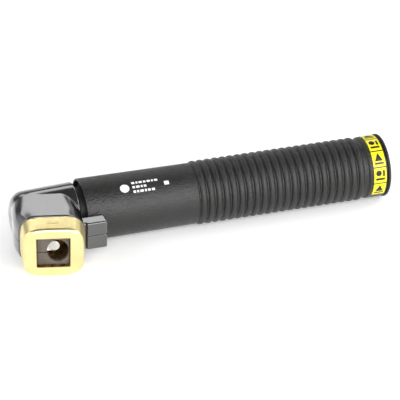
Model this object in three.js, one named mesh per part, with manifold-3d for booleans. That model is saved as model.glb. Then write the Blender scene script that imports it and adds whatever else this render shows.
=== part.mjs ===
// Twist-grip electrode holder for manual arc welding.
// Turning the handle screws a brass spindle into the head. The spindle pushes a thrust pin that cannot turn,
// and the pin rocks a steel lever, whose tip clamps the electrode sideways in the bore behind the guide plate.
// Millimetres, +Z up. The handle's axis runs along X, with the head at -X and the cable end at +X.
import * as THREE from "three";
import { mergeVertices } from "three/addons/utils/BufferGeometryUtils.js";
import Module from "manifold-3d";

const wasm = await Module();
wasm.setup();

// ---------------------------------------------------------------- driving dimensions
const GAP = 0.3; // between pieces that touch
const ROUND = 32; // sides of a large turned piece, a multiple of 4
const COARSE = 24; // sides of the handle and its bush
const SMALL = 16; // sides of a small turned piece

const NOSE_LEAN = THREE.MathUtils.degToRad(12.3); // the nose leans forward of square to the handle
const DROOP = THREE.MathUtils.degToRad(4.4); // the head is turned down until the nose meets the table

// Distances along the handle's axis, from the point where it meets the nose's axis.
const SHELL_REAR_X = 15.5;
const HANDLE_FRONT_X = 19;
const BARREL_END_X = 92;
const RIB_PITCH = 5;
const RIB_COUNT = 22;
const BAND_X = BARREL_END_X + RIB_COUNT * RIB_PITCH + 4.5;
const HANDLE_REAR_X = 217;
const REAR_X = 219;

// Radii about the handle's axis.
const BARREL_FRONT_R = 19.8;
const BARREL_REAR_R = 19.3;
const RIB_CREST_R = 20.2;
const RIB_VALLEY_R = 19.1;
const BAND_R = 19.7;
const RIM_R = 20.2;
const HANDLE_FRONT_BORE_R = 15;
const HANDLE_BORE_R = 13.2;
const NECK_R = 14.5;
const SHANK_R = 10.5;
const THREAD_R = 7;
const THRUST_R = 5.8;
const SOCKET_R = 11.5;
const CABLE_BORE_R = 7.6;
const LINER_R = 12.9;
const STUD_R = 5.7;

// The nose, measured along its own axis from the handle's axis.
const NOSE_LENGTH = 44;
const NOSE_RIM_N = 30; // where the shells end and bare brass starts
const NOSE_RIM = { width: 39.6, height: 34, corner: 12 };
const NOSE_FACE_SHARE = { width: 0.94, height: 0.985 }; // the face against the rim
const CORE = { width: 26, height: 26, corner: 5, back: 9, rear_x: 12.4 };
const WINDOW = { width: 20, height: 20, floor: 38.5 };
const GUIDE = { front: 41.2, hole_r: 6.6, tall: 1.18 };
const BORE = { side: 2.8, bottom: 23, r: 6.9 };
const SHELL = { end_x: -24.5, end_r: 17.4, rear_r: 18.5, end_fillet: 9, half_height: 17.5 };
const LUG = { x0: 5, x1: 28, y0: -31, y1: -22, top: 9.1, bottom: -9.7, corner: 2 };

// The shell round the nose, seen from above: [y, left side, right side, corner] in the handle's direction.
const SHELL_PLAN = [
  [0, -24.5, 14.5, 9.5],
  [-8, -26.2, 14.5, 9.7],
  [-15, -27.1, 14.3, 10],
  [-20, -27.0, 13.9, 10.4],
  [-26, -26.1, 13.3, 11],
  [-37, -24.2, 12.4, 11],
];

const SEAM = GAP / 2; // each shell stops this far from the joint plane

// ---------------------------------------------------------------- solids
// A closed geometry as a solid that can be joined and cut.
function toSolid(geometry) {
  const bare = geometry.index ? geometry.toNonIndexed() : geometry.clone();
  bare.deleteAttribute("normal");
  bare.deleteAttribute("uv");
  const merged = mergeVertices(bare, 1e-4);
  const position = merged.getAttribute("position");
  const index = Array.from(merged.index.array);
  const corner = (i) => new THREE.Vector3().fromBufferAttribute(position, index[i]);
  const kept = [];
  let volume = 0;
  for (let i = 0; i < index.length; i += 3) {
    const distinct = index[i] !== index[i + 1] && index[i + 1] !== index[i + 2] && index[i] !== index[i + 2];
    if (!distinct) continue;
    kept.push(index[i], index[i + 1], index[i + 2]);
    volume += corner(i).dot(corner(i + 1).cross(corner(i + 2)));
  }
  if (volume < 0) kept.reverse();
  const triVerts = new Uint32Array(kept);
  return new wasm.Manifold(new wasm.Mesh({ numProp: 3, vertProperties: position.array, triVerts }));
}

function toGeometry(solid) {
  const mesh = solid.getMesh();
  const geometry = new THREE.BufferGeometry();
  geometry.setAttribute("position", new THREE.BufferAttribute(new Float32Array(mesh.vertProperties), 3));
  geometry.setIndex(new THREE.BufferAttribute(new Uint32Array(mesh.triVerts), 1));
  geometry.computeVertexNormals();
  return geometry;
}

const join = (first, ...rest) => rest.reduce((sum, solid) => sum.add(solid), first);
const cut = (first, ...rest) => rest.reduce((left, solid) => left.subtract(solid), first);

// A profile of [x, radius] points turned about the X axis. It starts and ends on the axis, or closes on itself.
function turned(profile, sides = ROUND) {
  const points = profile.map(([x, r]) => new THREE.Vector2(r, x));
  return toSolid(new THREE.LatheGeometry(points, sides).rotateZ(-Math.PI / 2));
}

const rod = (x0, x1, r, sides = ROUND) => turned([[x0, 0], [x0, r], [x1, r], [x1, 0]], sides);
const ring = (x0, x1, r0, r1, sides = ROUND) =>
  turned([[x0, r0], [x0, r1], [x1, r1], [x1, r0], [x0, r0]], sides);

// A rod from z0 to z1 standing at (x, y).
function post(x, y, z0, z1, r, sides = SMALL) {
  const shape = new THREE.CylinderGeometry(r, r, z1 - z0, sides).rotateX(Math.PI / 2);
  return toSolid(shape.translate(x, y, (z0 + z1) / 2));
}

function block(x0, x1, y0, y1, z0, z1) {
  const shape = new THREE.BoxGeometry(x1 - x0, y1 - y0, z1 - z0);
  return toSolid(shape.translate((x0 + x1) / 2, (y0 + y1) / 2, (z0 + z1) / 2));
}

function roundedOutline(width, height, corner) {
  const w = width / 2;
  const h = height / 2;
  const shape = new THREE.Shape();
  shape.absarc(w - corner, h - corner, corner, 0, Math.PI / 2);
  shape.absarc(-w + corner, h - corner, corner, Math.PI / 2, Math.PI);
  shape.absarc(-w + corner, -h + corner, corner, Math.PI, 1.5 * Math.PI);
  shape.absarc(w - corner, -h + corner, corner, 1.5 * Math.PI, 2 * Math.PI);
  return shape;
}

// A rounded section of [x, z] points from x0 to x1.
function roundedSection(x0, x1, halfHeight, corner, steps = 5) {
  const points = [];
  for (let i = 0; i < 4 * (steps + 1); i++) {
    const quarter = Math.floor(i / (steps + 1));
    const a = (Math.PI / 2) * (quarter + (i % (steps + 1)) / steps);
    const right = quarter === 0 || quarter === 3;
    const x = right ? x1 - corner : x0 + corner;
    const z = quarter < 2 ? halfHeight - corner : corner - halfHeight;
    points.push([x + corner * Math.cos(a), z + corner * Math.sin(a)]);
  }
  return points;
}

// A closed skin over sections of [y, [x, z] points].
function lofted(sections) {
  const points = sections.flatMap(([y, outline]) => outline.flatMap(([x, z]) => [x, y, z]));
  const count = sections[0][1].length;
  const last = (sections.length - 1) * count;
  const index = [];
  for (let start = 0; start < last; start += count) {
    for (let k = 0; k < count; k++) {
      const a = start + k;
      const b = start + ((k + 1) % count);
      index.push(a, b, b + count, a, b + count, a + count);
    }
  }
  for (let k = 1; k + 1 < count; k++) {
    index.push(0, k + 1, k, last, last + k, last + k + 1);
  }
  const skin = new THREE.BufferGeometry();
  skin.setAttribute("position", new THREE.Float32BufferAttribute(points, 3));
  skin.setIndex(index);
  return toSolid(skin);
}

// ---------------------------------------------------------------- the nose's frame
// Local X is the nose's width, local -Y runs out along the nose and Z is up.
const noseMatrix = new THREE.Matrix4().makeRotationZ(-NOSE_LEAN);
const toHead = (geometry) => geometry.applyMatrix4(noseMatrix);

// A rounded bar along the nose from n0 to n1. scale(n) gives its [width, height] share at n.
function noseBar(outline, n0, n1, steps = 1, scale = () => [1, 1]) {
  const shape = new THREE.ExtrudeGeometry(outline, {
    depth: n1 - n0,
    steps,
    bevelEnabled: false,
    curveSegments: 6,
  });
  const position = shape.getAttribute("position");
  for (let i = 0; i < position.count; i++) {
    const [w, h] = scale(n0 + position.getZ(i));
    position.setXY(i, position.getX(i) * w, position.getY(i) * h);
  }
  return toSolid(toHead(shape.rotateX(Math.PI / 2).translate(0, -n0, 0)));
}

function noseRod(n0, n1, r, side = 0, sides = SMALL) {
  const shape = new THREE.CylinderGeometry(r, r, n1 - n0, sides);
  return toSolid(toHead(shape.translate(side, -(n0 + n1) / 2, 0)));
}

function noseBlock(side0, side1, n0, n1, z0, z1) {
  const shape = new THREE.BoxGeometry(side1 - side0, n1 - n0, z1 - z0);
  return toSolid(toHead(shape.translate((side0 + side1) / 2, -(n0 + n1) / 2, (z0 + z1) / 2)));
}

function nosePost(side, n, z0, z1, r, sides = SMALL) {
  const shape = new THREE.CylinderGeometry(r, r, z1 - z0, sides).rotateX(Math.PI / 2);
  return toSolid(toHead(shape.translate(side, -n, (z0 + z1) / 2)));
}

const core = (grow, front) => {
  const { width, height, corner, back, rear_x } = CORE;
  const outline = roundedOutline(width + 2 * grow, height + 2 * grow, corner + grow);
  const bar = noseBar(outline, -back - grow, front);
  return bar.intersect(block(-60, rear_x + grow, -60, 60, -60, 60));
};

// A rod along the nose at the electrode bore, taller than it is wide.
function ovalRod(n0, n1, r) {
  const shape = new THREE.CylinderGeometry(r, r, n1 - n0, ROUND).scale(1, 1, GUIDE.tall);
  return toSolid(toHead(shape.translate(BORE.side, -(n0 + n1) / 2, 0)));
}

// ---------------------------------------------------------------- head
const THRUST_BORE_R = THRUST_R + GAP;
const THRUST_BORE_X = [-3.6, 22];
const SHANK_REAR_X = 54;
const KEY = { x: 16, r: 1.2, z0: 4.6, z1: 10.2 };
const NECK_PIN = { x: 46, r: 1.5, z0: 7.6, z1: 14.2 };

// The lever is drawn in the nose's frame, as [side, distance out along the nose].
const LEVER = { half_z: 3.2, width: 6.4, side: -3.3, foot_r: 3.2, pivot_n: 15.5, tip_n: 26, end_n: 35.5 };
const LEVER_TIP_SIDE = 0.9; // centre of the tip's round end
const LEVER_SLOT = { left: -11, right: 2.4, half_z: 3.6 };
const PIVOT_R = 2;

// The brass casting: bare nose, core inside the shells, and the shank with the spindle's thread.
function contactHead() {
  const { width, height, corner } = NOSE_RIM;
  const roundOff = 1.8; // depth of the rounding at the face's edge
  const outline = roundedOutline(width, height, corner);
  const front = NOSE_LENGTH - roundOff;
  const face = NOSE_FACE_SHARE;
  const taper = (n, end) => 1 + ((end - 1) * (n - NOSE_RIM_N)) / (front - NOSE_RIM_N);
  const bar = noseBar(outline, NOSE_RIM_N, front, 1, (n) => [taper(n, face.width), taper(n, face.height)]);
  const rounded = noseBar(outline, front, NOSE_LENGTH, 3, (n) => {
    const along = (n - front) / roundOff;
    const edge = 1 - 0.07 * (1 - Math.sqrt(1 - along * along));
    return [face.width * edge, face.height * edge];
  });
  const shank = rod(0, SHANK_REAR_X, SHANK_R);
  const w = WINDOW.width / 2;
  const h = WINDOW.height / 2;
  const { left, right, half_z } = LEVER_SLOT;
  return cut(
    join(bar, rounded, core(0, NOSE_RIM_N + 1), shank),
    noseBlock(-w, w, WINDOW.floor, NOSE_LENGTH + 1, -h, h),
    ovalRod(BORE.bottom, WINDOW.floor + 1, BORE.r),
    noseBlock(left, right, -5, WINDOW.floor - 2, -half_z, half_z),
    nosePost(LEVER.side, LEVER.pivot_n, -20, 20, PIVOT_R + GAP),
    rod(THRUST_BORE_X[0], THRUST_BORE_X[1] + 1, THRUST_BORE_R),
    rod(THRUST_BORE_X[1], SHANK_REAR_X + 1, THREAD_R),
    post(KEY.x, 0, 0, SHANK_R + 1, KEY.r + GAP),
    post(NECK_PIN.x, 0, 0, SHANK_R + 1, NECK_PIN.r + GAP),
  );
}

// The dark guide plate in the window, with the hole that the electrode's end goes through.
function guidePlate() {
  const w = WINDOW.width / 2 - GAP;
  const h = WINDOW.height / 2 - GAP;
  const { front, hole_r } = GUIDE;
  const slot = { height: 0.7, depth: 0.8 };
  return cut(
    noseBlock(-w, w, WINDOW.floor + GAP, front, -h, h),
    ovalRod(WINDOW.floor, NOSE_LENGTH, hole_r),
    noseBlock(-w - 1, BORE.side, front - slot.depth, front + 1, -slot.height - 0.6, -0.6),
  );
}

function clampLever() {
  const { half_z, width, side, foot_r, pivot_n, tip_n, end_n } = LEVER;
  const w = width / 2;
  const tip = noseBlock(side - w, LEVER_TIP_SIDE, tip_n, end_n, -half_z, half_z);
  return cut(
    join(
      nosePost(side, 0, -half_z, half_z, foot_r),
      noseBlock(side - w, side + w, 0, tip_n + 1, -half_z, half_z),
      nosePost(side, pivot_n, -half_z, half_z, 4.4),
      tip,
      noseRod(tip_n, end_n, half_z, LEVER_TIP_SIDE),
    ),
    nosePost(side, pivot_n, -half_z - 1, half_z + 1, PIVOT_R + GAP),
  );
}

const pivotPin = () => nosePost(LEVER.side, LEVER.pivot_n, -12.6, 12.6, PIVOT_R);

// The glossy moulded shell, whole: a tapered barrel along the handle's axis and a box round the nose.
function wholeShell() {
  const { end_x, end_r, rear_r, end_fillet, half_height } = SHELL;
  const barrel = [[end_x, 0]];
  for (let i = 0; i <= 4; i++) {
    const a = (Math.PI / 2) * (i / 4);
    barrel.push([end_x + end_fillet * (1 - Math.cos(a)), end_r - end_fillet * (1 - Math.sin(a))]);
  }
  barrel.push([SHELL_REAR_X - 1, rear_r], [SHELL_REAR_X, rear_r - 1], [SHELL_REAR_X, 0]);
  const box = lofted(SHELL_PLAN.map(([y, x0, x1, corner]) => [y, roundedSection(x0, x1, half_height, corner)]));
  const behindRim = noseBlock(-60, 60, -60, NOSE_RIM_N - GAP, -60, 60);
  const lugOutline = roundedOutline(LUG.x1 - LUG.x0, LUG.y1 - LUG.y0, LUG.corner);
  const lug = new THREE.ExtrudeGeometry(lugOutline, {
    depth: LUG.top - LUG.bottom,
    bevelEnabled: false,
    curveSegments: 3,
  });
  lug.translate((LUG.x0 + LUG.x1) / 2, (LUG.y0 + LUG.y1) / 2, LUG.bottom);
  return join(box.intersect(behindRim), turned(barrel), toSolid(lug));
}

const SHELL_SCREWS = [
  { name: "lug", x: 21, y: -26.5, head: -6, bottom: LUG.bottom },
  { name: "tip", x: -18.8, y: -6, head: -9.5, bottom: -18.5 },
];
const SHELL_SCREW = { r: 1.4, head_r: 2.4, head_height: 2.2, top: 6, nut_r: 2.7, nut_height: 2.2 };

function shellHollow() {
  const sleeve = rod(NECK_FRONT_X - GAP, SHELL_REAR_X + 1, NECK_R + GAP);
  return join(core(GAP, NOSE_RIM_N + 1), rod(0, NECK_FRONT_X, SHANK_R + GAP), sleeve);
}

function headShell(upper) {
  const far = 60;
  const keep = upper ? block(-far, far, -far, far, SEAM, far) : block(-far, far, -far, far, -far, -SEAM);
  let half = cut(wholeShell().intersect(keep), shellHollow());
  for (const { x, y, head, bottom } of SHELL_SCREWS) {
    const { r, head_r, top, nut_r, nut_height } = SHELL_SCREW;
    half = cut(half, post(x, y, -30, top + GAP, r + GAP));
    half = upper
      ? cut(half, post(x, y, 0, nut_height + 1, nut_r + GAP, 6))
      : cut(half, post(x, y, bottom - 1, head, head_r + GAP));
  }
  return half;
}

function shellScrew({ x, y, head }) {
  const { r, head_r, head_height, top } = SHELL_SCREW;
  const seat = head - GAP;
  const body = join(post(x, y, seat - head_height, seat, head_r), post(x, y, seat - 1, top, r));
  return cut(body, post(x, y, seat - head_height - 1, seat - 1, 1.25, 6));
}

function shellNut({ x, y }) {
  const { r, nut_r, nut_height } = SHELL_SCREW;
  return cut(post(x, y, SEAM + GAP, nut_height + 0.7, nut_r, 6), post(x, y, 0, nut_height + 1, r + GAP));
}

// The insulating sleeve over the shank, which runs inside the handle's front bore.
const NECK_FRONT_X = 12.9;
const NECK_REAR_X = 56;
const SEAL = { x: 34, r: 1.25, ring_r: 13.5 };

function neckSleeve() {
  const inner = SHANK_R + GAP;
  const groove = { half: SEAL.r + GAP, r: SEAL.ring_r - SEAL.r - GAP };
  const profile = [
    [NECK_FRONT_X, inner],
    [NECK_FRONT_X, NECK_R],
    [SEAL.x - groove.half, NECK_R],
    [SEAL.x - groove.half, groove.r],
    [SEAL.x + groove.half, groove.r],
    [SEAL.x + groove.half, NECK_R],
    [NECK_REAR_X - 1.5, NECK_R],
    [NECK_REAR_X, NECK_R - 1.2],
    [NECK_REAR_X, inner],
    [NECK_FRONT_X, inner],
  ];
  return cut(turned(profile), post(NECK_PIN.x, 0, 0, NECK_R + 1, NECK_PIN.r + GAP));
}

function neckSeal() {
  const sides = 8;
  const profile = Array.from({ length: sides + 1 }, (_, i) => {
    const a = ((i % sides) / sides) * 2 * Math.PI;
    return [SEAL.x + SEAL.r * Math.cos(a), SEAL.ring_r + SEAL.r * Math.sin(a)];
  });
  return turned(profile);
}

// ---------------------------------------------------------------- thrust pin
const THRUST_X = [0.3, 25];
const NIPPLE = { r: 3, x: 18, groove_r: 2.2, groove: [20.2, 22.8] };
const SWIVEL = { x: 21.5, y: 3.3, r: 0.8 };

// The pin pushes the lever's foot. The spindle's nipple turns in its rear, and the key stops it turning.
function thrustPin() {
  const [front, rear] = THRUST_X;
  const body = turned([[front, 0], [front, THRUST_R - 1], [front + 1, THRUST_R], [rear, THRUST_R], [rear, 0]]);
  return cut(
    body,
    rod(NIPPLE.x - GAP, rear + 1, NIPPLE.r + GAP, SMALL),
    block(8, rear + 1, -KEY.r - GAP, KEY.r + GAP, KEY.z0 - GAP, THRUST_R + 1),
    post(SWIVEL.x, SWIVEL.y, -THRUST_R - 1, THRUST_R + 1, SWIVEL.r + GAP),
  );
}

const thrustKey = () => post(KEY.x, 0, KEY.z0, KEY.z1, KEY.r);
const neckPin = () => post(NECK_PIN.x, 0, NECK_PIN.z0, NECK_PIN.z1, NECK_PIN.r);
const swivelPin = () => post(SWIVEL.x, SWIVEL.y, -4.2, 4.2, SWIVEL.r);

// ---------------------------------------------------------------- spindle and cable socket
const COLLAR_X = [66, 71];
const NUT_X = [71.3, 75.8];
const SOCKET_X = [76.1, 138];
const STUD_HOLE_X = 91;
const CABLE_BORE_X = 97;
const PIN_X = 83;
const HANDLE_SCREW_X = 91.6;
const GRUBS = [{ name: "front", x: 109 }, { name: "rear", x: 127 }];
const GRUB = { r: 3.85, z0: 5.6, z1: 10.9 };

function spindle() {
  const thread = THREAD_R - GAP;
  const profile = [
    [NIPPLE.x, 0],
    [NIPPLE.x, NIPPLE.r],
    [NIPPLE.groove[0], NIPPLE.r],
    [NIPPLE.groove[0], NIPPLE.groove_r],
    [NIPPLE.groove[1], NIPPLE.groove_r],
    [NIPPLE.groove[1], NIPPLE.r],
    [THRUST_X[1] + GAP, NIPPLE.r],
    [THRUST_X[1] + GAP, thread - 1],
    [THRUST_X[1] + GAP + 1, thread],
    [COLLAR_X[0], thread],
    [COLLAR_X[0], 9.5],
    [COLLAR_X[1], 9.5],
    [COLLAR_X[1], STUD_R],
    [STUD_HOLE_X - 1, STUD_R],
    [STUD_HOLE_X - 1, 0],
  ];
  return cut(turned(profile, 24), post(PIN_X, 0, -STUD_R - 1, STUD_R + 1, 1.25 + GAP));
}

const lockNut = () => {
  const [x0, x1] = NUT_X;
  return cut(rod(x0, x1, 9.8, 6), rod(x0 - 1, x1 + 1, STUD_R + GAP, 24));
};

function cableSocket() {
  const [x0, x1] = SOCKET_X;
  const rim = SOCKET_R - 1;
  const profile = [[x0, 0], [x0, rim], [x0 + 1, SOCKET_R], [x1 - 1, SOCKET_R], [x1, rim], [x1, 0]];
  return cut(
    turned(profile),
    rod(x0 - 1, STUD_HOLE_X, STUD_R + GAP, 24),
    rod(CABLE_BORE_X, x1 + 1, CABLE_BORE_R, 24),
    post(PIN_X, 0, -SOCKET_R - 1, SOCKET_R + 1, 1.25 + GAP),
    radialRod(HANDLE_SCREW_X, 6.2, SOCKET_R + 1, 2.4 + GAP),
    ...GRUBS.map(({ x }) => post(x, 0, 0, SOCKET_R + 1, GRUB.r + GAP)),
  );
}

const spindlePin = () => post(PIN_X, 0, -SOCKET_R + 0.6, SOCKET_R - 0.6, 1.25);
const grubScrew = ({ x }) =>
  cut(post(x, 0, GRUB.z0, GRUB.z1, GRUB.r), post(x, 0, GRUB.z1 - 3, GRUB.z1 + 1, 2, 6));
const pressureStrip = () => block(CABLE_BORE_X + 3, SOCKET_X[1] - 3, -3.2, 3.2, 4.3, 5.3);

// A rod that points out of the handle's back, from radius r0 to r1.
function radialRod(x, r0, r1, r, sides = SMALL) {
  const shape = new THREE.CylinderGeometry(r, r, r1 - r0, sides);
  return toSolid(shape.translate(x, (r0 + r1) / 2, 0));
}

function handleScrew() {
  const body = join(radialRod(HANDLE_SCREW_X, 6.6, 16.1, 2.4), radialRod(HANDLE_SCREW_X, 15.3, 17, 4));
  return cut(body, block(HANDLE_SCREW_X - 5, HANDLE_SCREW_X + 5, 16.3, 18, -0.5, 0.5));
}

const screwCap = () => radialRod(HANDLE_SCREW_X, 17.3, 18.3, 4.2);

// ---------------------------------------------------------------- handle
const LINER_X = [75, 146];
const BUSH_X = 201.7;
const BUSH_R = 16;
const CABLE_ENTRY_R = 9.8;

function handleTube() {
  const outer = [
    [HANDLE_FRONT_X, HANDLE_FRONT_BORE_R + 0.6],
    [HANDLE_FRONT_X, BARREL_FRONT_R - 0.8],
    [HANDLE_FRONT_X + 0.8, BARREL_FRONT_R],
    [BARREL_END_X - 1, BARREL_REAR_R],
  ];
  for (let i = 0; i < RIB_COUNT; i++) {
    const x = BARREL_END_X + i * RIB_PITCH;
    outer.push([x, RIB_VALLEY_R], [x + 1, RIB_CREST_R], [x + 4, RIB_CREST_R]);
  }
  outer.push(
    [BAND_X - 2, RIB_VALLEY_R],
    [BAND_X - 1.2, BAND_R],
    [HANDLE_REAR_X, BAND_R],
    [HANDLE_REAR_X, BUSH_R + GAP],
    [BUSH_X, BUSH_R + GAP],
    [BUSH_X, HANDLE_BORE_R],
    [64, HANDLE_BORE_R],
    [62, HANDLE_FRONT_BORE_R],
    [HANDLE_FRONT_X + 0.6, HANDLE_FRONT_BORE_R],
    [HANDLE_FRONT_X, HANDLE_FRONT_BORE_R + 0.6],
  );
  return cut(
    turned(outer, COARSE),
    radialRod(HANDLE_SCREW_X, 10, 21, 2.4 + GAP),
    radialRod(HANDLE_SCREW_X, 15, 21, 4.2 + GAP),
  );
}

const innerSleeve = () =>
  cut(ring(LINER_X[0], LINER_X[1], SOCKET_R + GAP, LINER_R), radialRod(HANDLE_SCREW_X, 10, 14, 2.4 + GAP));

// The cable bush, with soft lips inside and the rim that shows at the handle's end.
function rearBush() {
  const inner = [];
  const lips = 2;
  for (let i = 0; i < lips; i++) {
    const x = REAR_X - 1.5 - i * 5;
    inner.push([x, CABLE_ENTRY_R + 1.2], [x - 1.6, CABLE_ENTRY_R], [x - 2.4, CABLE_ENTRY_R]);
    inner.push([x - 3.4, CABLE_ENTRY_R + 1.2]);
  }
  const rim = HANDLE_REAR_X + GAP;
  return turned([
    [BUSH_X + GAP, CABLE_ENTRY_R + 1.2],
    [BUSH_X + GAP, BUSH_R],
    [rim, BUSH_R],
    [rim, RIM_R],
    [REAR_X - 0.8, RIM_R],
    [REAR_X, RIM_R - 0.8],
    [REAR_X, CABLE_ENTRY_R + 2],
    ...inner,
    [BUSH_X + GAP, CABLE_ENTRY_R + 1.2],
  ], COARSE);
}

// The label is a thin strip that wraps half way round the band, from low on the front to high on the back.
const LABEL = { x0: BAND_X + 0.3, x1: HANDLE_REAR_X - 0.4, r0: BAND_R + GAP, r1: BAND_R + GAP + 0.25 };
const LABEL_START = THREE.MathUtils.degToRad(45); // below the front
const LABEL_SWEEP = Math.PI;

function label() {
  const shape = new THREE.Shape();
  shape.absarc(0, 0, LABEL.r1, 0, LABEL_SWEEP, false);
  shape.absarc(0, 0, LABEL.r0, LABEL_SWEEP, 0, true);
  const strip = new THREE.ExtrudeGeometry(shape, {
    depth: LABEL.x1 - LABEL.x0,
    bevelEnabled: false,
    curveSegments: 18,
  });
  // The strip's arc starts at the front (-Y), LABEL_START below level, and rises over the top to the back.
  strip.rotateZ(LABEL_START).rotateY(Math.PI / 2).rotateX(Math.PI / 2);
  return toSolid(strip.translate(LABEL.x0, 0, 0));
}

// ---------------------------------------------------------------- materials
const finish = (color, roughness, metalness) => new THREE.MeshStandardMaterial({ color, roughness, metalness });
const gloss = finish(0x1b1b1d, 0.2, 0);
const matte = finish(0x232324, 0.55, 0);
const brass = finish(0xe6cf86, 0.35, 1);
const steel = finish(0xc9c6c0, 0.3, 1);
const fibre = finish(0x55504a, 0.7, 0);
const rubber = finish(0x161616, 0.8, 0);
const copper = finish(0xb87350, 0.4, 1);
const yellow = finish(0xe8d92a, 0.5, 0);

// ---------------------------------------------------------------- assembly
function add(group, name, solid, material) {
  const mesh = new THREE.Mesh(toGeometry(solid), material);
  mesh.name = name;
  group.add(mesh);
}

const head = new THREE.Group();
head.rotation.x = DROOP;
add(head, "contact_head", contactHead(), brass);
add(head, "guide_plate", guidePlate(), fibre);
add(head, "head_shell_upper", headShell(true), gloss);
add(head, "head_shell_lower", headShell(false), gloss);
add(head, "neck_sleeve", neckSleeve(), matte);
add(head, "neck_seal", neckSeal(), rubber);
add(head, "neck_pin", neckPin(), steel);
add(head, "thrust_key", thrustKey(), steel);
add(head, "pivot_pin", pivotPin(), steel);
for (const screw of SHELL_SCREWS) {
  add(head, `shell_screw_${screw.name}`, shellScrew(screw), steel);
  add(head, `shell_nut_${screw.name}`, shellNut(screw), steel);
}
add(head, "clamp_lever", clampLever(), steel);
add(head, "thrust_pin", thrustPin(), steel);
add(head, "swivel_pin", swivelPin(), steel);

const handle = new THREE.Group();
add(handle, "handle_tube", handleTube(), matte);
add(handle, "inner_sleeve", innerSleeve(), fibre);
add(handle, "spindle", spindle(), brass);
add(handle, "lock_nut", lockNut(), brass);
add(handle, "spindle_pin", spindlePin(), steel);
add(handle, "cable_socket", cableSocket(), brass);
for (const grub of GRUBS) add(handle, `grub_screw_${grub.name}`, grubScrew(grub), steel);
add(handle, "pressure_strip", pressureStrip(), copper);
add(handle, "handle_screw", handleScrew(), steel);
add(handle, "screw_cap", screwCap(), matte);
add(handle, "rear_bush", rearBush(), rubber);
add(handle, "label", label(), yellow);

// The origin is under the middle of the holder, on the surface that it lies on.
const holder = new THREE.Group();
holder.add(head, handle);
holder.updateMatrixWorld(true);
const box = new THREE.Box3().setFromObject(holder, true);
const middle = box.getCenter(new THREE.Vector3());
holder.position.set(-middle.x, -middle.y, -box.min.z);

export default holder;
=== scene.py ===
"""Looks of a twist-grip electrode holder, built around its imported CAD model."""
import math

import bmesh
import bpy
from mathutils import Matrix, Vector


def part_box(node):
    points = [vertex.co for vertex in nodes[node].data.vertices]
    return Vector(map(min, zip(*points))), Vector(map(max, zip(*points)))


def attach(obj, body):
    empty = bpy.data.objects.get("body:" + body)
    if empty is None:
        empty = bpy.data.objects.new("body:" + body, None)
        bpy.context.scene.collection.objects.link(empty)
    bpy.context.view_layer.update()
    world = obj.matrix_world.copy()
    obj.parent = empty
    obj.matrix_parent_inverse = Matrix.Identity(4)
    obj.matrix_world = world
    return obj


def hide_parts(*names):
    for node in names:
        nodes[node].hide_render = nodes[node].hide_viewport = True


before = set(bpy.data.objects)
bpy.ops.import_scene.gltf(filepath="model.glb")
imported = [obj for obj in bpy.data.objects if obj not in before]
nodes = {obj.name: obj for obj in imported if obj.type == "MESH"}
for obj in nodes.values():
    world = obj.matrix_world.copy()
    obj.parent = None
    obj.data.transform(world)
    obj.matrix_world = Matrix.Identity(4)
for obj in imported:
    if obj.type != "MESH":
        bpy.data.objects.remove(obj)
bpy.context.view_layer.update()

# ------------------------------------------------------------------ dimensions, in mm
LEAN = math.radians(12.3)  # the nose leans forward of square to the handle
DROOP = math.radians(4.4)  # the head is turned down until the nose meets the table
HANDLE_FRONT_X = 19
BARREL_END_X = 92
RIB_PITCH = 5
RIB_COUNT = 22
BAND_X = BARREL_END_X + RIB_COUNT * RIB_PITCH + 4.5
HANDLE_REAR_X = 217
REAR_X = 219
BARREL_FRONT_R = 19.8
BARREL_REAR_R = 19.3
RIB_R = 20.2
VALLEY_R = 18.65  # between the ribs
GAP_R = 18.6  # the recess in the front of the handle, 3 mm deep
GAP_DEPTH = 3
BAND_R = 19.7
NOSE_N = 44  # the face, from the handle's axis
RIM_N = 30  # where the shells end
SIDES = 160

# The handle's axis and the point where it meets the nose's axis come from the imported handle.
tube_low, tube_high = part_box("handle_tube")
tube_middle = (tube_low + tube_high) / 2
centre = Vector((tube_low.x - HANDLE_FRONT_X / 1000, tube_middle.y, tube_middle.z))
HANDLE = Matrix.Translation(centre) @ Matrix.Scale(0.001, 4)
HEAD = HANDLE @ Matrix.Rotation(DROOP, 4, "X")
NOSE = HEAD @ Matrix.Rotation(-LEAN, 4, "Z")  # local X is the width and local -Y runs out along the nose


# ------------------------------------------------------------------ mesh helpers
def new_object(name, bm):
    bmesh.ops.recalc_face_normals(bm, faces=bm.faces)
    mesh = bpy.data.meshes.new(name)
    bm.to_mesh(mesh)
    bm.free()
    obj = bpy.data.objects.new(name, mesh)
    bpy.context.scene.collection.objects.link(obj)
    return obj


def apply_modifiers(obj):
    depsgraph = bpy.context.evaluated_depsgraph_get()
    mesh = bpy.data.meshes.new_from_object(obj.evaluated_get(depsgraph))
    obj.modifiers.clear()
    old = obj.data
    obj.data = mesh
    bpy.data.meshes.remove(old)
    return obj


def boolean(obj, other, operation):
    modifier = obj.modifiers.new("bool", "BOOLEAN")
    modifier.operation = operation
    modifier.solver = "EXACT"
    modifier.object = other
    apply_modifiers(obj)
    mesh = other.data
    bpy.data.objects.remove(other)
    bpy.data.meshes.remove(mesh)
    return obj


def join(obj, *others):
    for other in others:
        boolean(obj, other, "UNION")
    return obj


def cut(obj, *others):
    for other in others:
        boolean(obj, other, "DIFFERENCE")
    return obj


def block(x0, x1, y0, y1, z0, z1):
    bm = bmesh.new()
    bmesh.ops.create_cube(bm, size=1)
    bmesh.ops.scale(bm, vec=(x1 - x0, y1 - y0, z1 - z0), verts=bm.verts)
    bmesh.ops.translate(bm, vec=((x0 + x1) / 2, (y0 + y1) / 2, (z0 + z1) / 2), verts=bm.verts)
    return new_object("block", bm)


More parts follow.
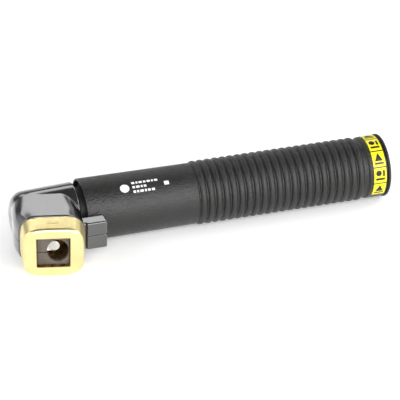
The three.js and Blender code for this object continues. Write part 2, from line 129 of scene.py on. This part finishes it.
def rod(centre_at, axis, length, r, sides=96, tall=1.0):
    """A rod of that length centred at a point, along X, Y or Z, and tall times as high as it is wide."""
    bm = bmesh.new()
    bmesh.ops.create_cone(bm, cap_ends=True, segments=sides, radius1=r, radius2=r, depth=length)
    turn = {"X": Matrix.Rotation(math.pi / 2, 4, "Y"), "Y": Matrix.Rotation(math.pi / 2, 4, "X")}
    bmesh.ops.transform(bm, matrix=turn.get(axis, Matrix.Identity(4)), verts=bm.verts)
    bmesh.ops.scale(bm, vec=(1, 1, tall), verts=bm.verts)
    bmesh.ops.translate(bm, vec=centre_at, verts=bm.verts)
    return new_object("rod", bm)


def filleted(points, segments=5):
    """A closed profile of (x, r, fillet) with each corner rounded."""
    out = []
    count = len(points)
    for i, (x, r, fillet) in enumerate(points):
        here = Vector((x, r))
        if fillet == 0:
            out.append(here)
            continue
        before = Vector(points[i - 1][:2]) - here
        after = Vector(points[(i + 1) % count][:2]) - here
        half = before.angle(after) / 2
        reach = fillet / math.tan(half)
        reach = min(reach, before.length * 0.49, after.length * 0.49)
        start = here + before.normalized() * reach
        end = here + after.normalized() * reach
        for k in range(segments + 1):
            t = k / segments
            out.append(start * (1 - t) ** 2 + here * 2 * t * (1 - t) + end * t**2)
    return out


def turned(name, profile, sides=SIDES):
    """A closed profile of (x, radius) points turned about the X axis."""
    bm = bmesh.new()
    rings = []
    for i in range(sides):
        a = 2 * math.pi * i / sides
        rings.append([bm.verts.new((x, r * math.cos(a), r * math.sin(a))) for x, r in profile])
    count = len(profile)
    for i in range(sides):
        near, far = rings[i], rings[(i + 1) % sides]
        for k in range(count):
            m = (k + 1) % count
            bm.faces.new((near[k], near[m], far[m], far[k]))
    return new_object(name, bm)


def rounded_rectangle(width, height, corner, steps):
    points = []
    for quarter, (sx, sy) in enumerate(((1, 1), (-1, 1), (-1, -1), (1, -1))):
        cx, cy = sx * (width / 2 - corner), sy * (height / 2 - corner)
        for k in range(steps + 1):
            a = math.pi / 2 * (quarter + k / steps)
            points.append((cx + corner * math.cos(a), cy + corner * math.sin(a)))
    return points


def loft(name, sections):
    """A closed skin over sections, each (n, outline of (side, z) points)."""
    bm = bmesh.new()
    rings = [[bm.verts.new((s, -n, z)) for s, z in outline] for n, outline in sections]
    count = len(rings[0])
    for near, far in zip(rings, rings[1:]):
        for k in range(count):
            m = (k + 1) % count
            bm.faces.new((near[k], near[m], far[m], far[k]))
    bm.faces.new(rings[0])
    bm.faces.new(rings[-1])
    return new_object(name, bm)


def bevelled(obj, width, segments=3, angle=40):
    modifier = obj.modifiers.new("bevel", "BEVEL")
    modifier.width = width
    modifier.segments = segments
    modifier.limit_method = "ANGLE"
    modifier.angle_limit = math.radians(angle)
    modifier.harden_normals = False
    return apply_modifiers(obj)


def smooth(obj, angle=35):
    mesh = obj.data
    mesh.shade_smooth()
    mesh.set_sharp_from_angle(angle=math.radians(angle))
    return obj


def place(obj, name, matrix, body, material, replaces=()):
    """Moves a piece from its own frame in mm to its place, and hands it to its body."""
    obj.name = name
    obj.data.name = name
    obj.data.transform(matrix)
    obj.data.materials.clear()
    obj.data.materials.append(material)
    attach(obj, body)
    if replaces:
        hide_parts(*replaces)
    return obj


def repaint(obj, material, frame_of, inside):
    """Gives a second material to the faces whose centres, in that frame in mm, are inside."""
    obj.data.materials.append(material)
    to_local = frame_of.inverted()
    for face in obj.data.polygons:
        if inside(to_local @ face.center):
            face.material_index = 1


# ------------------------------------------------------------------ materials
class Shader:
    """A material with a Principled shader and a few procedural layers."""

    def __init__(self, name, color, roughness, metallic=0.0):
        self.material = bpy.data.materials.new(name)
        self.material.use_nodes = True
        self.tree = self.material.node_tree
        self.bsdf = self.tree.nodes["Principled BSDF"]
        self.bsdf.inputs["Base Color"].default_value = (*color, 1)
        self.bsdf.inputs["Roughness"].default_value = roughness
        self.bsdf.inputs["Metallic"].default_value = metallic
        self.coords = self.tree.nodes.new("ShaderNodeTexCoord").outputs["Object"]
        self.height = None

    def noise(self, scale, detail=3.0, stretch=(1, 1, 1)):
        mapping = self.tree.nodes.new("ShaderNodeMapping")
        mapping.inputs["Scale"].default_value = stretch
        self.tree.links.new(self.coords, mapping.inputs["Vector"])
        texture = self.tree.nodes.new("ShaderNodeTexNoise")
        texture.inputs["Scale"].default_value = scale
        texture.inputs["Detail"].default_value = detail
        self.tree.links.new(mapping.outputs["Vector"], texture.inputs["Vector"])
        return texture.outputs["Fac"]

    def ramp(self, value, low, high):
        """Spreads a noise value over a range of colours or grey levels."""
        ramp = self.tree.nodes.new("ShaderNodeValToRGB")
        ramp.color_ramp.elements[0].position = 0.32
        ramp.color_ramp.elements[1].position = 0.68
        for element, color in zip(ramp.color_ramp.elements, (low, high)):
            element.color = (*color, 1) if isinstance(color, tuple) else (color, color, color, 1)
        self.tree.links.new(value, ramp.inputs["Fac"])
        return ramp.outputs["Color"]

    def color(self, value, low, high):
        self.tree.links.new(self.ramp(value, low, high), self.bsdf.inputs["Base Color"])
        return self

    def roughness(self, value, low, high):
        self.tree.links.new(self.ramp(value, low, high), self.bsdf.inputs["Roughness"])
        return self

    def bump(self, value, depth, strength=1.0):
        """Adds a bump layer, depth in metres."""
        bump = self.tree.nodes.new("ShaderNodeBump")
        bump.inputs["Distance"].default_value = depth
        bump.inputs["Strength"].default_value = strength
        self.tree.links.new(value, bump.inputs["Height"])
        if self.height:
            self.tree.links.new(self.height, bump.inputs["Normal"])
        self.height = bump.outputs["Normal"]
        self.tree.links.new(self.height, self.bsdf.inputs["Normal"])
        return self

    def set(self, **values):
        for name, value in values.items():
            self.bsdf.inputs[name.replace("_", " ")].default_value = value
        return self


def grained_black():
    s = Shader("grained_black", (0.012, 0.012, 0.012), 0.4)
    s.color(s.noise(90, 4), (0.0085, 0.0082, 0.0078), (0.0135, 0.013, 0.0124))
    s.roughness(s.noise(260, 4), 0.33, 0.44)
    s.bump(s.noise(1000, 3), 0.00045, 1.0)
    s.bump(s.noise(420, 2), 0.00008, 0.3)
    s.set(Specular_IOR_Level=0.6)
    return s.material


def gloss_black():
    s = Shader("gloss_black", (0.006, 0.006, 0.0065), 0.16)
    s.color(s.noise(60, 3), (0.005, 0.005, 0.0055), (0.008, 0.0078, 0.008))
    s.roughness(s.noise(300, 5), 0.12, 0.2)
    s.bump(s.noise(1500, 2), 0.00002, 0.25)
    s.set(Coat_Weight=1.0, Coat_Roughness=0.16, Coat_IOR=2.0)
    return s.material


def satin_brass():
    s = Shader("satin_brass", (0.95, 0.82, 0.4), 0.34, 1.0)
    s.color(s.noise(140, 5), (0.88, 0.735, 0.35), (0.93, 0.795, 0.41))
    s.roughness(s.noise(500, 5), 0.3, 0.4)
    s.bump(s.noise(2600, 3), 0.00003, 0.4)
    s.bump(s.noise(350, 2), 0.00002, 0.15)
    return s.material


def bright_steel():
    s = Shader("bright_steel", (0.75, 0.73, 0.7), 0.28, 1.0)
    s.color(s.noise(300, 4), (0.6, 0.58, 0.55), (0.8, 0.78, 0.75))
    s.roughness(s.noise(900, 4, (1, 6, 1)), 0.2, 0.42)
    s.bump(s.noise(1800, 3, (1, 8, 1)), 0.00003, 0.4)
    return s.material


# Dark brown brass with painted shade, for the hollows inside the nose.
def painted_shade_brass():
    s = Shader("painted_shade_brass", (0.1, 0.06, 0.03), 0.5, 1.0)
    s.color(s.noise(260, 5), (0.05, 0.03, 0.015), (0.42, 0.27, 0.1))
    s.roughness(s.noise(500, 4), 0.35, 0.7)
    s.bump(s.noise(900, 4), 0.0001, 0.5)
    return s.material


def fibre_board():
    s = Shader("fibre_board", (0.1, 0.085, 0.07), 0.6)
    s.color(s.noise(700, 5, (1, 1, 3)), (0.07, 0.058, 0.048), (0.15, 0.125, 0.1))
    s.roughness(s.noise(600, 3), 0.5, 0.75)
    s.bump(s.noise(1600, 4, (1, 1, 4)), 0.00008, 0.6)
    return s.material


def black_rubber():
    s = Shader("black_rubber", (0.008, 0.008, 0.008), 0.6)
    s.color(s.noise(200, 4), (0.006, 0.006, 0.006), (0.011, 0.0105, 0.01))
    s.roughness(s.noise(500, 4), 0.5, 0.7)
    s.bump(s.noise(3000, 2), 0.00005, 0.5)
    return s.material


def bare_copper():
    s = Shader("bare_copper", (0.72, 0.36, 0.22), 0.35, 1.0)
    s.color(s.noise(400, 4), (0.6, 0.28, 0.16), (0.8, 0.42, 0.27))
    s.roughness(s.noise(900, 3), 0.28, 0.45)
    s.bump(s.noise(1500, 3), 0.00003, 0.4)
    return s.material


def printed_film(name, low, high):
    s = Shader(name, low, 0.3)
    s.color(s.noise(500, 4), low, high)
    s.roughness(s.noise(800, 3), 0.25, 0.38)
    s.bump(s.noise(1800, 2), 0.00002, 0.3)
    return s.material


MATTE = grained_black()
GLOSS = gloss_black()
BRASS = satin_brass()
STEEL = bright_steel()
PAINTED_SHADE = painted_shade_brass()
FIBRE = fibre_board()
RUBBER = black_rubber()
COPPER = bare_copper()
YELLOW = printed_film("yellow_film", (0.86, 0.76, 0.012), (0.93, 0.83, 0.02))
INK = printed_film("black_ink", (0.010, 0.010, 0.010), (0.016, 0.016, 0.015))
WHITE = printed_film("white_ink", (0.82, 0.83, 0.84), (0.92, 0.93, 0.93))

# ------------------------------------------------------------------ camera, light and floor
def look(azimuth, elevation, roll, target, distance):
    """A camera matrix, seen from the head's frame."""
    level = math.cos(elevation)
    back = Vector((math.sin(azimuth) * level, -math.cos(azimuth) * level, math.sin(elevation)))
    right = Vector((0, 0, 1)).cross(back).normalized()
    up = back.cross(right)
    tilted_right = math.cos(roll) * right + math.sin(roll) * up
    tilted_up = -math.sin(roll) * right + math.cos(roll) * up
    at = Vector((HANDLE_FRONT_X + target[0], 0, 0)) + target[1] * tilted_right + target[2] * tilted_up
    rotation = Matrix.Rotation(DROOP, 3, "X")
    axes = [rotation @ v for v in (tilted_right, tilted_up, back)]
    matrix = Matrix(axes).transposed().to_4x4()
    matrix.translation = HEAD @ (at + distance * back)
    return matrix


camera_data = bpy.data.cameras.new("camera")
FOCAL_PIXELS, IMAGE_PIXELS, SENSOR_MM = 2380, 400, 36
camera_data.lens = FOCAL_PIXELS / IMAGE_PIXELS * SENSOR_MM
camera_data.sensor_width = SENSOR_MM
camera_data.clip_end = 20
camera = bpy.data.objects.new("camera", camera_data)
bpy.context.scene.collection.objects.link(camera)
AZIMUTH, ELEVATION, ROLL = (math.radians(degrees) for degrees in (-18.62, 31.88, 1.42))
camera.matrix_world = look(AZIMUTH, ELEVATION, ROLL, target=(80, -1.55, -5.36), distance=1500)
bpy.context.scene.camera = camera
bpy.context.scene.view_settings.view_transform = "Standard"


def softbox(name, place_at, size, power):
    data = bpy.data.lights.new(name, "AREA")
    data.shape = "RECTANGLE"
    data.size, data.size_y = size
    data.energy = power
    light = bpy.data.objects.new(name, data)
    light.location = place_at
    light.rotation_euler = (Vector((0, 0, 0.02)) - Vector(place_at)).to_track_quat("-Z", "Y").to_euler()
    bpy.context.scene.collection.objects.link(light)


softbox("back_strip", (0.0, 0.83, 0.72), (1.6, 0.27), 3.0)
softbox("front_light", (0.05, -0.97, 0.52), (1.5, 0.8), 12)
softbox("left_light", (-1.0, -0.1, 0.55), (0.7, 0.7), 2.6)
softbox("right_light", (1.0, -0.2, 0.75), (0.6, 0.6), 2.6)

world = bpy.data.worlds.new("studio")
world.use_nodes = True
tree = world.node_tree
direction = tree.nodes.new("ShaderNodeTexCoord").outputs["Generated"]
split = tree.nodes.new("ShaderNodeSeparateXYZ")
tree.links.new(direction, split.inputs["Vector"])
sky = tree.nodes.new("ShaderNodeValToRGB")
# (place from the front horizon to the back one, level)
STOPS = ((0.0, 1.0), (0.17, 0.9), (0.24, 0.16), (0.95, 0.1), (0.985, 1.0), (1.0, 1.0))
for k, (place_at, level) in enumerate(STOPS):
    element = sky.color_ramp.elements[k] if k < 2 else sky.color_ramp.elements.new(place_at)
    element.position = place_at
    element.color = (level, level, level, 1)
depth = tree.nodes.new("ShaderNodeMapRange")
depth.inputs["From Min"].default_value = -1
tree.links.new(split.outputs["Y"], depth.inputs["Value"])
tree.links.new(depth.outputs["Result"], sky.inputs["Fac"])
sideways = tree.nodes.new("ShaderNodeMath")
sideways.operation = "ABSOLUTE"
tree.links.new(split.outputs["X"], sideways.inputs[0])
flanks = tree.nodes.new("ShaderNodeMapRange")
flanks.inputs["From Min"].default_value = 0.42
flanks.inputs["From Max"].default_value = 0.75
flanks.inputs["To Max"].default_value = 0.9
tree.links.new(sideways.outputs["Value"], flanks.inputs["Value"])
brightest = tree.nodes.new("ShaderNodeMath")
brightest.operation = "MAXIMUM"
tree.links.new(sky.outputs["Color"], brightest.inputs[0])
tree.links.new(flanks.outputs["Result"], brightest.inputs[1])
tree.links.new(brightest.outputs["Value"], tree.nodes["Background"].inputs["Color"])
tree.nodes["Background"].inputs["Strength"].default_value = 1.0
bpy.context.scene.world = world

bm = bmesh.new()
bmesh.ops.create_grid(bm, x_segments=1, y_segments=1, size=4)
floor = new_object("floor", bm)
floor_shader = Shader("floor_white", (0.9, 0.9, 0.9), 0.8)
floor_shader.set(Emission_Color=(1, 1, 1, 1), Emission_Strength=0.26, Specular_IOR_Level=0.0)
floor.data.materials.append(floor_shader.material)


# ------------------------------------------------------------------ head shells
# The shell round the nose, seen from above: (y, left side, right side, corner) in the handle's direction.
SHELL_PLAN = (
    (0, -24.5, 14.5, 9.5), (-8, -26.2, 14.5, 9.7), (-15, -27.1, 14.3, 10), (-20, -27.0, 13.9, 10.4),
    (-26, -26.1, 13.3, 11), (-37, -24.2, 12.4, 11),
)


def eased(rows, steps):
    """Rows of numbers with a smooth curve through them."""
    out = []
    for i in range(len(rows) - 1):
        around = [rows[max(0, i - 1)], rows[i], rows[i + 1], rows[min(len(rows) - 1, i + 2)]]
        for k in range(steps):
            t = k / steps
            out.append([
                b + 0.5 * t * ((c - a) + t * ((2 * a - 5 * b + 4 * c - d) + t * (3 * (b - c) + d - a)))
                for a, b, c, d in zip(*around)
            ])
    out.append(list(rows[-1]))
    return out


def whole_shell():
    sections = []
    for y, x0, x1, corner in eased(SHELL_PLAN, 5):
        outline = rounded_rectangle(x1 - x0, 35, corner, 14)
        sections.append((-y, [(x + (x0 + x1) / 2, z) for x, z in outline]))
    box = loft("box", sections)
    behind_rim = block(-60, 60, -RIM_N + 0.3, 60, -60, 60)
    behind_rim.data.transform(Matrix.Rotation(-LEAN, 4, "Z"))
    boolean(box, behind_rim, "INTERSECT")
    profile = [(-24.5, 0.01)]
    for k in range(13):
        a = math.pi / 2 * k / 12
        profile.append((-24.5 + 9 * (1 - math.cos(a)), 17.4 - 9 * (1 - math.sin(a))))
    profile += [(14.9, 18.5), (15.5, 17.9), (15.5, 0.01)]
    lug = bevelled(cut(block(5, 28, -31, -22, -9.7, 9.1), block(0, 15, -33, -29.7, -12, 12)), 1.8, 5)
    for at, axis, half_x, half_y in (((16, -31.2, 0), "X", 14, 0.65), ((28.2, -26, 0), "Y", 0.65, 8)):
        groove = block(-half_x, half_x, -half_y, half_y, -0.65, 0.65)
        groove.data.transform(Matrix.Translation(at) @ Matrix.Rotation(math.pi / 4, 4, axis))
        cut(lug, groove)
    shell = join(box, turned("barrel", profile), lug)
    outline = rounded_rectangle(26.6, 26.6, 5.3, 8)
    core = loft("core", [(-9.3, outline), (40, outline)])
    core.data.transform(Matrix.Rotation(-LEAN, 4, "Z"))
    boolean(core, block(-60, 12.7, -60, 60, -60, 60), "INTERSECT")
    return cut(shell, core, rod((6.45, 0, 0), "X", 12.9, 10.8), rod((16, 0, 0), "X", 6.8, 14.8))


def remeshed(obj, voxel, rounds):
    modifier = obj.modifiers.new("remesh", "REMESH")
    modifier.mode = "VOXEL"
    modifier.voxel_size = voxel
    apply_modifiers(obj)
    modifier = obj.modifiers.new("soften", "SMOOTH")
    modifier.factor = 0.5
    modifier.iterations = rounds
    return apply_modifiers(obj)


def half_of(source, name, upper):
    """One half of the shell, cut just clear of the joint plane, with the cut closed by a flat fill."""
    bm = bmesh.new()
    bm.from_mesh(source.data)
    z = 0.15 if upper else -0.15
    geometry = bm.verts[:] + bm.edges[:] + bm.faces[:]
    result = bmesh.ops.bisect_plane(
        bm, geom=geometry, plane_co=(0, 0, z), plane_no=(0, 0, 1), clear_inner=upper, clear_outer=not upper,
    )
    rim = [e for e in result["geom_cut"] if isinstance(e, bmesh.types.BMEdge)]
    bmesh.ops.triangle_fill(bm, use_beauty=True, edges=rim)
    return new_object(name, bm)


shell = remeshed(whole_shell(), 0.45, 12)
lug_screw, tip_screw = (21, -26.5), (-18.8, -6)
for upper in (True, False):
    name = "upper" if upper else "lower"
    half = half_of(shell, name, upper)
    for (x, y), seat, low in ((lug_screw, -6, -12), (tip_screw, -9.5, -20)):
        cut(half, rod((x, y, -12), "Z", 36.6, 1.7, 32))
        if upper:
            cut(half, rod((x, y, 1.5), "Z", 3.4, 3.1, 32))
        else:
            cut(half, rod((x, y, (seat + low) / 2), "Z", seat - low, 2.7, 48))
    smooth(half, 40)
    place(half, f"shell_{name}_moulded", HEAD, "head", GLOSS, [f"head_shell_{name}"])
shell_mesh = shell.data
bpy.data.objects.remove(shell)
bpy.data.meshes.remove(shell_mesh)


# ------------------------------------------------------------------ brass nose
def squircle(width, height, power, steps=96):
    """A rectangle with bowed sides and soft corners."""
    points = []
    for k in range(steps):
        a = 2 * math.pi * k / steps
        c, d = math.cos(a), math.sin(a)
        reach = (abs(c) ** power + abs(d) ** power) ** (-1 / power)
        points.append((width / 2 * reach * c, height / 2 * reach * d))
    return points


def nose_sections():
    round_off = 2.2
    width, height, power = 39.6, 34, 4
    front = NOSE_N - round_off
    yield RIM_N, squircle(width, height, power)
    for k in range(9):
        a = math.pi / 2 * k / 8
        inset = round_off * (1 - math.cos(a))
        w, h = width * 0.94 - 2 * inset, height * 0.985 - 2 * inset
        yield front + round_off * math.sin(a), squircle(w, h, power)


def window_cutter():
    w = 10
    chamfer = 0.45
    square = lambda h: rounded_rectangle(2 * h, 2 * h, 0.5, 4)
    sections = [(38.5, square(w)), (NOSE_N - chamfer, square(w)), (NOSE_N + 0.5, square(w + chamfer + 0.5))]
    return loft("window", sections)


def rear_of_casting():
    """The casting behind the nose, as the CAD has it."""
    bm = bmesh.new()
    bm.from_mesh(nodes["contact_head"].data)
    bmesh.ops.transform(bm, matrix=NOSE.inverted(), verts=bm.verts)
    geometry = bm.verts[:] + bm.edges[:] + bm.faces[:]
    bmesh.ops.bisect_plane(
        bm, geom=geometry, plane_co=(0, -RIM_N - 0.05, 0), plane_no=(0, -1, 0), clear_outer=True,
    )
    return new_object("casting_rear", bm)


bore = rod((2.8, -34, 0), "Y", 22, 6.9, 96, 1.18)
cast_pad = bevelled(block(-3.3, 3.3, -37.6, -35.2, 16, 17.02), 0.15, 2)
nose = loft("nose", list(nose_sections()))
cut(nose, window_cutter(), bore, block(-11, 2.4, -36.5, -20, -3.6, 3.6))
rear = rear_of_casting()
merged = bmesh.new()
merged.from_mesh(nose.data)
merged.from_mesh(rear.data)
merged.from_mesh(cast_pad.data)
for leftover in (nose, rear, cast_pad):
    bpy.data.objects.remove(leftover)
mesh = bpy.data.meshes.new("nose_casting")
merged.to_mesh(mesh)
merged.free()
casting = bpy.data.objects.new("nose_casting", mesh)
bpy.context.scene.collection.objects.link(casting)
smooth(casting, 28)
place(casting, "nose_casting", NOSE, "head", BRASS, ["contact_head"])
# The faces inside the window and the bore get painted shade in dark brown.
repaint(casting, PAINTED_SHADE, NOSE, lambda at: max(abs(at.x), abs(at.z)) < 10.02 and -43.5 < at.y < -12)

plate = cut(
    block(-9.7, 9.7, -41.2, -38.8, -9.7, 9.7),
    rod((2.8, -40, 0), "Y", 8, 6.6, 96, 1.18),
    block(-12, 2.8, -42, -40.4, -1.3, -0.6),
)
smooth(bevelled(plate, 0.25, 2), 30)
place(plate, "guide_board", NOSE, "head", FIBRE, ["guide_plate"])

# ------------------------------------------------------------------ clamp lever
lever = join(
    rod((-3.3, 0, 0), "Z", 6.4, 3.2, 64),
    block(-6.5, -0.1, -27, 0, -3.2, 3.2),
    rod((-3.3, -15.5, 0), "Z", 6.4, 4.4, 64),
    block(-6.5, 0.9, -35.5, -26, -3.2, 3.2),
    rod((0.9, -30.75, 0), "Y", 9.5, 3.2, 64),
)
cut(lever, rod((-3.3, -15.5, 0), "Z", 9, 2.3, 48))
smooth(bevelled(lever, 0.35, 3), 30)
place(lever, "lever_forged", NOSE, "lever", STEEL, ["clamp_lever"])

# ------------------------------------------------------------------ handle
def rib_points():
    """Rounded crests with dark valleys between them."""
    height, half = RIB_R - VALLEY_R, RIB_PITCH / 2
    points = []
    for i in range(RIB_COUNT):
        start = BARREL_END_X + i * RIB_PITCH
        for k in range(14):
            t = -1 + 2 * k / 14
            crown = max(0.0, 1 - (abs(t) / 0.78) ** 2.3) ** 0.6
            points.append((start + half * (1 + t), VALLEY_R + height * crown))
    points.append((BARREL_END_X + RIB_COUNT * RIB_PITCH, VALLEY_R))
    return points


gap_x = HANDLE_FRONT_X + GAP_DEPTH
profile = filleted([
    (gap_x, 15, 0.3), (gap_x, GAP_R, 0.3), (HANDLE_FRONT_X, GAP_R, 0.2),
    (HANDLE_FRONT_X, BARREL_FRONT_R, 0.5), (BARREL_END_X - 0.9, BARREL_REAR_R, 0.5),
    (BARREL_END_X - 0.1, VALLEY_R, 0), *((x, r, 0) for x, r in rib_points()),
    (BAND_X - 2, VALLEY_R, 0), (BAND_X - 1.2, BAND_R, 0.5), (HANDLE_REAR_X, BAND_R, 0.4),
    (HANDLE_REAR_X, 16.3, 0), (201.7, 16.3, 0), (201.7, 13.2, 0), (64, 13.2, 0), (62, 15, 0),
])
tube = turned("tube", profile)
screw_bores = [rod((91.6, 15, 0), "Y", 12, 2.7, 48), rod((91.6, 18.5, 0), "Y", 7, 4.5, 64)]
cut(tube, *screw_bores)
smooth(tube, 50)
place(tube, "handle_moulded", HANDLE, "handle", MATTE, ["handle_tube"])
# The faces of the recess in the front of the handle get the darker rubber black: painted shade in the
# recess.
painted_shade_in_gap = lambda at: at.x < HANDLE_FRONT_X + GAP_DEPTH + 0.1 and math.hypot(at.y, at.z) < GAP_R + 0.05
repaint(tube, RUBBER, HANDLE, painted_shade_in_gap)

neck = turned("neck", filleted([
    (12.9, 10.8, 0), (12.9, 14.5, 0.3), (32.45, 14.5, 0), (32.45, 11.95, 0), (35.55, 11.95, 0),
    (35.55, 14.5, 0), (56, 14.5, 1), (56, 10.8, 0),
]))
smooth(neck, 35)
place(neck, "neck_moulded", HANDLE, "head", RUBBER, ["neck_sleeve"])

bush_profile = [
    (202, 11, 0), (202, 16, 0), (217.3, 16, 0), (217.3, 20.2, 0.5), (REAR_X, 20.2, 0.7), (REAR_X, 11.8, 0.6),
    (217.5, 11, 0.5), (215.9, 9.8, 0.5), (215.1, 9.8, 0.5), (214.1, 11, 0), (212.5, 11, 0.5),
    (210.9, 9.8, 0.5), (210.1, 9.8, 0.5), (209.1, 11, 0),
]
bush = turned("bush", filleted(bush_profile, 4))
smooth(bush, 35)
place(bush, "bush_moulded", HANDLE, "handle", RUBBER, ["rear_bush"])


# ------------------------------------------------------------------ label and print
def wrapped(name, shapes, radius, thickness):
    """Thin closed plates of (x, angle in degrees above the front) outlines, wrapped round the handle."""
    bm = bmesh.new()
    for rows in shapes:
        top = [[point(x, a, radius, thickness) for x, a in row] for row in rows]
        base = [[point(x, a, radius) for x, a in row] for row in rows]
        top = [[bm.verts.new(p) for p in row] for row in top]
        base = [[bm.verts.new(p) for p in row] for row in base]
        last = len(top) - 1
        for i in range(last):
            bm.faces.new((top[i][0], top[i][1], top[i + 1][1], top[i + 1][0]))
            bm.faces.new((base[i][0], base[i + 1][0], base[i + 1][1], base[i][1]))
            for side in (0, 1):
                bm.faces.new((top[i][side], top[i + 1][side], base[i + 1][side], base[i][side]))
        for end in (0, last):
            bm.faces.new((top[end][0], top[end][1], base[end][1], base[end][0]))
    return new_object(name, bm)


def point(x, angle, r, lift=0.0):
    a = math.radians(angle)
    r = (r(x) if callable(r) else r) + lift
    return (x, -r * math.cos(a), r * math.sin(a))


def bar(x0, x1, a0, a1):
    """A rectangle as rows of two points, in steps of about a degree and a half."""
    steps = max(1, round(abs(a1 - a0) / 1.5))
    return [[(x0, a0 + (a1 - a0) * k / steps), (x1, a0 + (a1 - a0) * k / steps)] for k in range(steps + 1)]


def disc(x, angle, r, degrees_per_mm):
    """A round mark as rows across its height."""
    rows = []
    for k in range(13):
        t = -0.995 + 1.99 * k / 12
        half = r * math.sqrt(1 - t * t)
        rows.append([(x - half, angle + t * r * degrees_per_mm), (x + half, angle + t * r * degrees_per_mm)])
    return rows


def wedge(x, angle, size, degrees_per_mm):
    """A triangular mark."""
    rows = []
    for k in range(9):
        t = k / 8
        half = max(0.02, size / 2 * (1 - t))
        height = angle + (t - 0.5) * size * degrees_per_mm
        rows.append([(x - half, height), (x + half, height)])
    return rows


LABEL_X = (206.8, 216.5)
PANELS = (-39, -7.6, 23.8, 55.2, 86.6, 118)
PER_MM = math.degrees(1 / 20.0)
film = wrapped("film", [bar(*LABEL_X, PANELS[0] - 2, PANELS[-1] + 2)], BAND_R + 0.03, 0.1)
smooth(film, 30)
place(film, "label_film", HANDLE, "handle", YELLOW, ["label"])

middle = sum(LABEL_X) / 2
marks = [bar(LABEL_X[0], LABEL_X[0] + 0.65, PANELS[0], PANELS[-1])]
marks.append(bar(LABEL_X[1] - 0.65, LABEL_X[1], PANELS[0], PANELS[-1]))
for angle in PANELS:
    marks.append(bar(LABEL_X[0], LABEL_X[1], angle - 1, angle + 1))
for i in range(5):
    at = (PANELS[i] + PANELS[i + 1]) / 2
    if i % 2:
        marks.append(disc(middle - 1, at + 4.5, 1.9, PER_MM))
        marks.append(bar(middle - 3, middle + 3, at - 9, at - 4.8))
        marks.append(bar(middle + 1.7, middle + 3, at - 2, at + 9.5))
    else:
        marks.append(wedge(middle, at + 3.8, 5.4, PER_MM))
        marks.append(bar(middle - 3, middle + 3, at - 10, at - 6.5))
ink = wrapped("ink", marks, BAND_R + 0.14, 0.05)
place(ink, "label_marks", HANDLE, "handle", INK)


def barrel_r(x):
    share = (x - HANDLE_FRONT_X) / (BARREL_END_X - HANDLE_FRONT_X)
    return BARREL_FRONT_R + (BARREL_REAR_R - BARREL_FRONT_R) * share


# Plain marks stand in for the printing on the barrel.
print_x = HANDLE_FRONT_X + 23
strokes = [disc(print_x + 3, 56, 2.9, PER_MM)]
DASHES = ((2, 1.2, 2, 1.6, 2, 1.2, 2), (1.6, 2.2, 1.2, 1.6), (1.6, 1.2, 2.2, 1.2, 1.6, 2))
for row, lengths in enumerate(DASHES):
    x = print_x + 8
    angle = 65 - row * 9
    for length in lengths:
        strokes.append(bar(x, x + length, angle - 2.2, angle + 2.2))
        x += length + 0.8
strokes.append([[(x, a) for x in (print_x + 28.5, print_x + 31.5)] for a in (52, 54.5, 57, 59.5)])
printing = wrapped("printing", strokes, lambda x: barrel_r(x) + 0.01, 0.04)
place(printing, "barrel_marks", HANDLE, "handle", WHITE)

# ------------------------------------------------------------------ the CAD pieces that stay
KEPT = {
    "neck_seal": RUBBER, "neck_pin": STEEL, "thrust_key": STEEL, "pivot_pin": STEEL, "thrust_pin": STEEL,
    "swivel_pin": STEEL, "shell_screw_lug": STEEL, "shell_nut_lug": STEEL, "shell_screw_tip": STEEL,
    "shell_nut_tip": STEEL, "inner_sleeve": FIBRE, "spindle": BRASS, "lock_nut": BRASS, "spindle_pin": STEEL,
    "cable_socket": BRASS, "grub_screw_front": STEEL, "grub_screw_rear": STEEL, "pressure_strip": COPPER,
    "handle_screw": STEEL, "screw_cap": MATTE,
}
for name, material in KEPT.items():
    nodes[name].data.materials.clear()
    nodes[name].data.materials.append(material)
